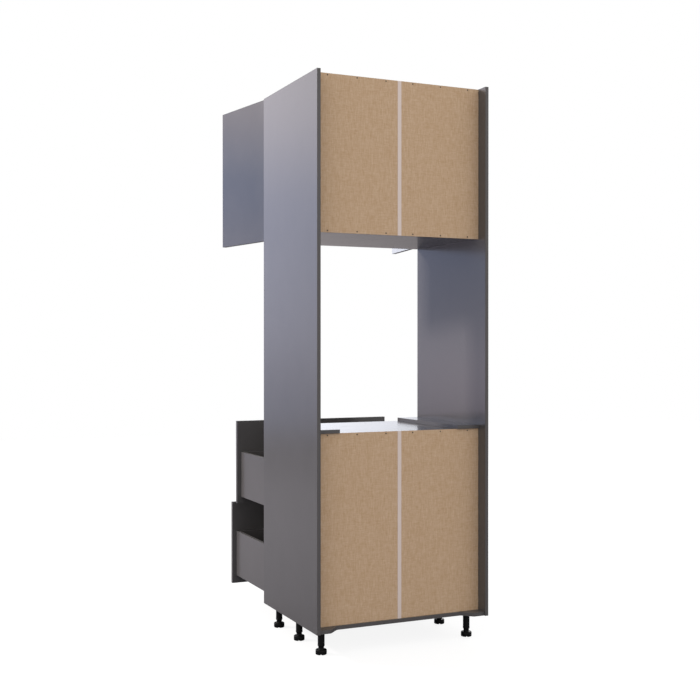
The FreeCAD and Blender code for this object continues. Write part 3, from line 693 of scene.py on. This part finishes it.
# ---- doors, hinge cups and pins ------------------------------------------------------
# Two plain doors of 18 mm board, banded all round. A pressed cup sits in a 35 mm bore of each
# door with its flange on the surface, and a pin through its ears carries the arm's eye. Both
# doors are made shut here and then turned open by 100 degrees.

door_inner, door_outer = -0.0745, -0.0925
door_foot, door_head = 1.6565, 2.2635
door_edges = (0.0015, 0.3785)          # from the unit's middle to a shut door's two sides
open_angle = 100.0
cup_x = 0.358
cup_screw_heights = (-0.0225, 0.0225)  # above and below the middle of a cup

cup = lathe("cup", [(0, -0.0128), (0.0155, -0.0128), (0.0168, -0.0122), (0.0173, -0.0110),
                    (0.0173, 0), (0.0187, 0.0001), (0.0190, 0.0004), (0.0188, 0.0009),
                    (0.0172, 0.0010), (0.0164, 0.0004), (0.0163, -0.0105), (0.0158, -0.0115),
                    (0.0148, -0.0118), (0, -0.0118)], 48)
set_down(cup, (0, 0, 0), (0, 1, 0))
for end in (-1, 1):
    low, high = sorted((end * 0.0170, end * 0.028))
    wing = ease_along(cut_block("wing", (-0.006, 0.0001, low), (0.006, 0.00095, high)), 1, 0.005, 6)
    carve(cup, [wing], "UNION")
carve(cup, [drill("hole", 0.0021, (0, -0.001, z), (0, 0.002, z)) for z in cup_screw_heights])
carve(cup, [cut_block("slot", (0.0100, -0.0118, -0.0050), (0.0205, 0.0011, 0.0050))])
for end in (-1, 1):
    low, high = sorted((end * 0.0051, end * 0.0073))
    carve(cup, [cut_block("ear", (0.0103, -0.0119, low), (0.0168, -0.0066, high), 0.0002)], "UNION")
wear(cup, nickel)
pin = lathe("pin", [(0, -0.0075), (0.0008, -0.0075), (0.0010, -0.0073), (0.0010, 0.0073),
                    (0.0008, 0.0075), (0, 0.0075)], 20)
wear(pin, nickel)


def swing(piece, side):
    """Turns a piece of a shut door about the hinge's axis, to where the open door has it."""
    turn = Matrix.Rotation(math.radians(open_angle * side), 4, "Z")
    about = Matrix.Translation((side * axis_x, axis_y, 0))
    piece.data.transform(about @ turn @ about.inverted())
    return piece


for hand, side in hands:
    body = hand + "_door_leaf"
    reach = sorted(side * edge for edge in door_edges)
    door = saw_board("door_" + hand, (reach[0], door_outer, door_foot),
                     (reach[1], door_inner, door_head), 0.0006)
    holes = [drill("bore", 0.0175, (side * cup_x, door_inner + past, z),
                   (side * cup_x, door_inner - 0.013, z), 64) for z in hinge_levels]
    carve(door, holes, lining=bare)
    fit(swing(door, side), body, [hand + "_door"])
    for which, z in enumerate(hinge_levels):
        dish = another(cup, f"cup_{hand}_{which}") if side > 0 else across(cup, f"cup_{hand}_{which}")
        dish.location = (side * cup_x, door_inner, z)
        fit(smooth(swing(settle(dish), side)), body, [hand + "_hinge_cups"])
        rod = set_down(another(pin, f"pin_{hand}_{which}"), (side * axis_x, axis_y, z))
        fit(rod, body, [hand + "_hinge_pins"])
        for end in cup_screw_heights:
            fixing = set_down(another(screw, f"cup_screw_{hand}_{which}_{int(end * 10000)}"),
                              (side * cup_x, door_inner + 0.0009, z + end), (0, 1, 0))
            fit(smooth(swing(fixing, side)), body, [hand + "_cup_screws"])
for master in (cup, pin):
    bpy.data.objects.remove(master, do_unlink=True)


# ---- runners -------------------------------------------------------------------------
# Full-extension runners of bent and zinc-plated sheet steel, 500 mm long, lie under the
# drawers: a rail screwed to the side panel, a middle rail and one under the drawer's side.

rail_length = 0.5
rail_front = -0.068
rail_mid = 0.332
half_sheet = 0.00075


def bend_rail(name, path, front):
    """A strip of sheet bent to a path of (x, z) points, rounded at the bends."""
    rail = draw_wire(name, [(x, front, z) for x, z in path])
    bpy.ops.object.mode_set(mode="EDIT")
    bpy.ops.mesh.select_all(action="SELECT")
    bpy.ops.mesh.extrude_region_move(TRANSFORM_OT_translate={"value": (0, rail_length, 0)})
    bpy.ops.mesh.select_all(action="SELECT")
    bpy.ops.mesh.normals_make_consistent(inside=False)
    bpy.ops.object.mode_set(mode="OBJECT")
    wall = rail.modifiers.new("wall", "SOLIDIFY")
    wall.thickness = 2 * half_sheet
    wall.offset = 0.0
    wall.use_even_offset = True
    bpy.ops.object.modifier_apply(modifier=wall.name)
    bends = rail.modifiers.new("bends", "BEVEL")
    bends.width = 0.0006
    bends.segments = 3
    bends.limit_method = "ANGLE"
    bends.angle_limit = math.radians(40)
    bpy.ops.object.modifier_apply(modifier=bends.name)
    rail.data.materials.append(zinc)
    return rail


def channel(name, half, crown, foot, front):
    """A rail that is a channel with its opening down, over the core of the one below it."""
    path = [(rail_mid - half + half_sheet, foot), (rail_mid - half + half_sheet, crown - half_sheet),
            (rail_mid + half - half_sheet, crown - half_sheet), (rail_mid + half - half_sheet, foot)]
    return bend_rail(name, path, front)


for level, foot, slid in (("lower", 0.1315, 0.4275), ("upper", 0.5055, 0.3605)):
    sole, shoulder = foot + half_sheet, foot + 0.01225
    fixed = bend_rail(f"{level}_fixed_rail",
                      [(0.36525, foot + 0.026), (0.36525, sole), (0.33725, sole),
                       (0.33725, shoulder), (0.32675, shoulder), (0.32675, foot)], rail_front)
    holes = [drill("hole", 0.0022, (0.360, y, foot + 0.013), (0.368, y, foot + 0.013), 20)
             for y in (screw_line + step * 0.048 for step in range(10))]
    for y in (rail_front + 0.06 + step * 0.13 for step in range(4)):
        slot = cut_block("slot", (0.344, y, foot - 0.002), (0.350, y + 0.03, foot + 0.004))
        holes.append(ease_along(slot, 2, 0.0029, 5))
    carve(fixed, holes)
    half_out = rail_front - slid / 2
    middle = channel(f"{level}_middle_rail", 0.008, foot + 0.015, foot + 0.002, half_out)
    carve(middle, [drill("stop", 0.0018, (rail_mid, y, foot + 0.010), (rail_mid, y, foot + 0.020), 20)
                   for y in (half_out + 0.012, half_out + 0.488)])
    out = rail_front - slid
    drawn = channel(f"{level}_drawer_rail", 0.010, foot + 0.017, foot + 0.002, out)
    slots = [cut_block("slot", (0.330, y, foot + 0.013), (0.334, y + 0.014, foot + 0.022))
             for y in (out + 0.020, out + 0.155, out + 0.345, out + 0.466)]
    carve(drawn, [ease_along(slot, 2, 0.0019, 4) for slot in slots])
    for rail, body, node in ((fixed, "carcass", level + "_cabinet_rails"),
                             (middle, level + "_middle_slides", level + "_middle_rails"),
                             (drawn, level + "_drawer", level + "_drawer_rails")):
        twin = across(rail, rail.name + "_left")
        for made in (rail, twin):
            fit(smooth(made), body, [node])
    for hand, side in hands:
        for number, y in enumerate((screw_line, 0.157, 0.349)):
            drive(f"rail_screw_{level}_{hand}_{number}", (side * 0.3645, y, foot + 0.013), (-side, 0, 0),
                  "carcass", "hardware_screws")


# ---- drawers -------------------------------------------------------------------------
# Each drawer is a box of 15 mm board with a 12 mm bottom let into its sides, and an 18 mm
# front screwed on from inside the box.

box_foil = melamine("drawer_foil", "#575554", "#5d5a5a", 0.22, 0.28)
box_band = melamine("drawer_edge_band", "#514f4f", "#575454", 0.36, 0.42)
box_finish = (box_foil, box_band, seam)
front_screws = ((0.226, 0.05), (0.226, 0.16), (-0.226, 0.05), (-0.226, 0.16))
for level in ("lower", "upper"):
    body = level + "_drawer"
    slab = saw_board(level + "_front_sawn", *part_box(level + "_drawer_front"), 0.0006)
    fit(slab, body, [level + "_drawer_front"])
    panel_low, panel_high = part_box(level + "_drawer_bottom")
    for hand, side in hands:
        node = f"{level}_drawer_{hand}_side"
        low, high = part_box(node)
        wall = saw_board(f"{level}_wall_{hand}", low, high, 0.0008, box_finish)
        reach = sorted((side * 0.3455, side * 0.3511))
        carve(wall, [cut_block("groove", (reach[0], low[1] - past, panel_low[2] - 0.0001),
                               (reach[1], high[1] + past, panel_high[2] + 0.0001))], lining=bare)
        fit(wall, body, [node])
    for part in ("back", "inner_front", "bottom"):
        node = f"{level}_drawer_{part}"
        panel = saw_board(f"{level}_{part}_sawn", *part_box(node), 0.0005, box_finish)
        fit(panel, body, [node])
    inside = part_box(level + "_drawer_inner_front")[1][1]
    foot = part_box(level + "_drawer_right_side")[0][2]
    for number, (x, rise) in enumerate(front_screws):
        drive(f"{level}_front_screw_{number}", (x, inside, foot + rise), (0, 1, 0), body,
              level + "_drawer_front_screws")


# ---- legs ----------------------------------------------------------------------------
# Six adjustable legs of black polyamide. A round socket is screwed under the base, a tube is
# pushed over its spigot, and a foot screws up into the tube.

def polyamide():
    """Moulded black polyamide: a fine matt grain about 0.8 mm across, worn a little shiny."""
    finish, tree, shader, place = start_finish("black_polyamide", {"IOR": 1.53, "Specular IOR Level": 0.18})
    grain = add_node(tree, "ShaderNodeTexNoise", {"Scale": 1200.0, "Detail": 2.0}, {"Vector": place})
    shine = add_node(tree, "ShaderNodeTexNoise", {"Scale": 90.0, "Detail": 3.0}, {"Vector": place})
    two_tones(tree, shader, shine.outputs[0], "#040404", "#0a0a0a", 0.42, 0.56)
    emboss(tree, shader, grain.outputs[0], 0.3, 0.00005)
    return finish


black = polyamide()
leg_turn = math.radians(24.5)
leg_x = 0.3275
leg_rows = (-0.027, 0.203, 0.433)
leg_head = 0.098
flange_screws = (-0.0178, 0.0178)
socket = lathe("socket", [(0, -0.004), (0.0205, -0.004), (0.0214, -0.0036), (0.0220, -0.0028),
                          (0.0220, 0), (0, 0)], 48)
carve(socket, [drill("spigot", 0.0099, (0, 0, -0.0238), (0, 0, -0.002), 40)], "UNION")
carve(socket, [drill("hole", 0.0022, (0, y, -0.006), (0, y, 0.002)) for y in flange_screws])
wear(socket, black)
tube = lathe("tube", [(0.01015, 0.0335), (0.0134, 0.0335), (0.0140, 0.0341), (0.0140, 0.0395),
                      (0.0136, 0.0400), (0.0136, 0.0895), (0.0140, 0.0900), (0.0140, 0.0935),
                      (0.0137, 0.0939), (0.01015, 0.0939), (0.01015, 0.0335)], 48)
wear(tube, black)
foot = lathe("foot", [(0, 0), (0.0190, 0), (0.0207, 0.0004), (0.0218, 0.0014), (0.0222, 0.0030),
                      (0.0222, 0.0160), (0.0217, 0.0184), (0.0205, 0.0196), (0.0188, 0.0200),
                      (0.0128, 0.0203), (0.0117, 0.0215), (0.01125, 0.0240), (0.01125, 0.0290),
                      (0.0122, 0.0312), (0.0134, 0.0325), (0.0136, 0.0333), (0.0099, 0.0334),
                      (0.0099, 0.0590), (0.0094, 0.0595), (0, 0.0595)], 72)


def notch(turned):
    """A V of 9 by 4 mm across the foot's underside, for a tool."""
    half, reach = 0.0046, 0.03
    bar = raise_outline("notch", [(-half, -reach, -0.0001), (half, -reach, -0.0001), (0, -reach, 0.0040)],
                        (0, 2 * reach, 0))
    bar.rotation_euler.z = turned
    return settle(bar)


carve(foot, [notch(-leg_turn)])
carve(foot, [notch(-leg_turn + math.pi / 2)])
flute_circle = 0.0226
for step in range(24):
    flute = math.radians(15 * step + 3.5)
    x, y = flute_circle * math.cos(flute), flute_circle * math.sin(flute)
    carve(foot, [drill("flute", 0.0009, (x, y, 0.0045), (x, y, 0.0150), 12)])
wear(foot, black)
for hand, side in hands:
    for row, y in enumerate(leg_rows, start=1):
        for master, height, body, node in ((socket, leg_head, "carcass", "leg_sockets"),
                                           (tube, 0, "carcass", "leg_tubes"),
                                           (foot, 0, f"{hand}_levelling_foot_{row}", f"{hand}_foot_{row}")):
            made = another(master, f"{master.name}_{hand}_{row}")
            made.location = (side * leg_x, y, height)
            fit(smooth(settle(made)), body, [node])
        for end in flange_screws:
            drive(f"leg_screw_{hand}_{row}_{int(end * 10000)}", (side * leg_x, y + end, 0.094), (0, 0, -1),
                  "carcass", "leg_screws")
for master in (socket, tube, foot, screw):
    bpy.data.objects.remove(master, do_unlink=True)


# ---- studio --------------------------------------------------------------------------
# A white ground and a white surround, which the gloss sees as the soft bands of a lit studio,
# with two softboxes and a card ahead. The camera is behind, to one side and at chest height.

bpy.ops.mesh.primitive_plane_add(size=20)
ground = bpy.context.object
ground.name = "ground"
paper = bpy.data.materials.new("white_ground")
paper.use_nodes = True
sheet_tree = paper.node_tree
sheet_tree.nodes.clear()
ray = add_node(sheet_tree, "ShaderNodeLightPath")
looked_at = add_node(sheet_tree, "ShaderNodeMath", {"operation": "MAXIMUM"},
                     {0: ray.outputs["Is Camera Ray"], 1: ray.outputs["Is Transmission Ray"]})
glow = add_node(sheet_tree, "ShaderNodeEmission", {"Color": (1, 1, 1, 1), "Strength": 1.06})
matt = add_node(sheet_tree, "ShaderNodeBsdfDiffuse", {"Color": linear("#ffffff")})
seen = add_node(sheet_tree, "ShaderNodeMixShader", {0: 0.16}, {1: glow.outputs[0], 2: matt.outputs[0]})
dim = add_node(sheet_tree, "ShaderNodeBsdfDiffuse", {"Color": linear("#8b8c96")})
choice = add_node(sheet_tree, "ShaderNodeMixShader", {}, {0: looked_at.outputs[0],
                                                         1: dim.outputs[0], 2: seen.outputs[0]})
add_node(sheet_tree, "ShaderNodeOutputMaterial", {}, {"Surface": choice.outputs[0]})
ground.data.materials.append(paper)

world = bpy.data.worlds.new("white_room")
bpy.context.scene.world = world
world.use_nodes = True
sky = world.node_tree
sky.nodes.clear()
toward = add_node(sky, "ShaderNodeTexCoord")
parts = add_node(sky, "ShaderNodeSeparateXYZ", {}, {0: toward.outputs["Generated"]})
lowest, highest = -0.12, 0.48
rise = add_node(sky, "ShaderNodeMapRange", {"From Min": lowest, "From Max": highest},
                {"Value": parts.outputs["Z"]})


def bands(stops):
    """Light that changes with the height above the horizon."""
    ramp = add_node(sky, "ShaderNodeValToRGB", {}, {0: rise.outputs[0]})
    marks = ramp.color_ramp.elements
    for _ in stops[2:]:
        marks.new(0.5)
    for mark, (at, tone) in zip(marks, stops):
        mark.position = (at - lowest) / (highest - lowest)
        mark.color = tone + (1.0,)
    return ramp


to_right = bands(((-0.12, (0.28, 0.34, 0.48)), (-0.06, (0.44, 0.51, 0.74)), (-0.03, (0.58, 0.63, 0.87)),
                  (0.01, (0.89, 0.95, 1.28)), (0.13, (1.04, 1.15, 1.61)), (0.20, (1.93, 1.86, 2.10)),
                  (0.31, (2.03, 1.94, 2.05)), (0.48, (1.0, 1.0, 1.0))))
to_left = bands(((-0.12, (0.40, 0.36, 0.36)), (-0.03, (0.62, 0.56, 0.55)), (0.01, (1.20, 1.20, 1.25)),
                 (0.05, (1.50, 1.55, 1.66)), (0.10, (1.52, 1.57, 1.70)), (0.15, (1.50, 1.50, 1.65)),
                 (0.48, (1.0, 1.0, 1.0))))
to_side = bands(((-0.12, (0.95, 0.80, 0.95)), (-0.05, (1.86, 1.62, 1.98)), (-0.015, (2.10, 1.86, 2.20)),
                 (0.003, (1.68, 1.68, 2.02)), (0.014, (1.09, 1.04, 1.30)), (0.03, (0.80, 0.86, 1.17)),
                 (0.09, (0.85, 0.95, 1.40)), (0.135, (0.0, 0.36, 1.16)), (0.165, (0.35, 0.65, 1.30)),
                 (0.20, (1.48, 1.35, 1.58)), (0.48, (0.8, 0.8, 0.8))))
turn_left = add_node(sky, "ShaderNodeMapRange", {"From Min": 0.28, "From Max": -0.15},
                     {"Value": parts.outputs["X"]})
turn_side = add_node(sky, "ShaderNodeMapRange", {"From Min": 0.42, "From Max": 0.54},
                     {"Value": parts.outputs["X"]})
half = add_node(sky, "ShaderNodeMix", {"data_type": "RGBA"},
                {0: turn_left.outputs[0], 6: to_right.outputs[0], 7: to_left.outputs[0]})
full = add_node(sky, "ShaderNodeMix", {"data_type": "RGBA"},
                {0: turn_side.outputs[0], 6: half.outputs[2], 7: to_side.outputs[0]})
behind = add_node(sky, "ShaderNodeMapRange", {"From Min": -0.25, "From Max": 0.25},
                  {"Value": parts.outputs["Y"]})
around = add_node(sky, "ShaderNodeMix", {"data_type": "RGBA", 7: (1.0, 0.985, 0.97, 1.0)},
                  {0: behind.outputs[0], 6: full.outputs[2]})
fall = add_node(sky, "ShaderNodeMapRange",
                {"From Min": -0.36, "From Max": -0.48, "To Min": 1.25, "To Max": 0.8},
                {"Value": parts.outputs["X"]})
lift = add_node(sky, "ShaderNodeMapRange",
                {"From Min": -0.15, "From Max": -0.36, "To Min": 1.0, "To Max": 1.25},
                {"Value": parts.outputs["X"]})
strength = add_node(sky, "ShaderNodeMath", {"operation": "MINIMUM"},
                    {0: fall.outputs[0], 1: lift.outputs[0]})
gloss = add_node(sky, "ShaderNodeBackground", {},
                 {"Color": around.outputs[2], "Strength": strength.outputs[0]})
ahead = add_node(sky, "ShaderNodeMapRange",
                 {"From Min": 0.3, "From Max": -0.4, "To Min": 1.0, "To Max": 0.6},
                 {"Value": parts.outputs["Y"]})
room = add_node(sky, "ShaderNodeBackground", {"Color": (1.0, 0.985, 0.97, 1)},
                {"Strength": ahead.outputs[0]})
white = add_node(sky, "ShaderNodeBackground", {"Color": (1, 1, 1, 1), "Strength": 1.0})
sky_ray = add_node(sky, "ShaderNodeLightPath")
mirrored = add_node(sky, "ShaderNodeMath", {"operation": "MAXIMUM"},
                    {0: sky_ray.outputs["Is Glossy Ray"], 1: sky_ray.outputs["Is Transmission Ray"]})
unlit = add_node(sky, "ShaderNodeMixShader", {}, {0: mirrored.outputs[0],
                                                  1: room.outputs[0], 2: gloss.outputs[0]})
both = add_node(sky, "ShaderNodeMixShader", {}, {0: sky_ray.outputs["Is Camera Ray"],
                                                 1: unlit.outputs[0], 2: white.outputs[0]})
add_node(sky, "ShaderNodeOutputWorld", {}, {"Surface": both.outputs[0]})


def hang_lamp(name, place, target, width, height, watts, colour):
    """A softbox that faces a point and that the camera doesn't see."""
    box = bpy.data.lights.new(name, "AREA")
    box.shape = "RECTANGLE"
    box.size, box.size_y = width, height
    box.energy = watts
    box.color = colour
    lamp = bpy.data.objects.new(name, box)
    bpy.context.collection.objects.link(lamp)
    lamp.location = place
    lamp.rotation_euler = (Vector(target) - Vector(place)).to_track_quat("-Z", "Y").to_euler()
    lamp.visible_camera = False


hang_lamp("softbox_right", (4.98, -3.03, 3.85), (0, 0.2, 1.2), 0.6, 0.6, 325.0, (1.0, 0.93, 0.90))
hang_lamp("softbox_left", (-4.7, -4.7, 3.6), (0, 0, 1.2), 2.0, 2.0, 170.0, (1.0, 0.98, 0.96))
hang_lamp("card_ahead", (0.3, -7.0, 1.9), (0, 0, 1.3), 2.2, 1.6, 27.0, (0.92, 0.94, 1.0))

camera_data = bpy.data.cameras.new("camera")
camera_data.sensor_width = 36.0
camera_data.lens = 56.951
camera_data.clip_end = 200.0
camera = bpy.data.objects.new("camera", camera_data)
bpy.context.collection.objects.link(camera)
camera.location = (2.0204, 4.4172, 1.2081)
camera.rotation_euler = (math.radians(90 - 0.2456), 0, math.radians(155.486))
bpy.context.scene.camera = camera
bpy.context.scene.view_settings.view_transform = "Standard"
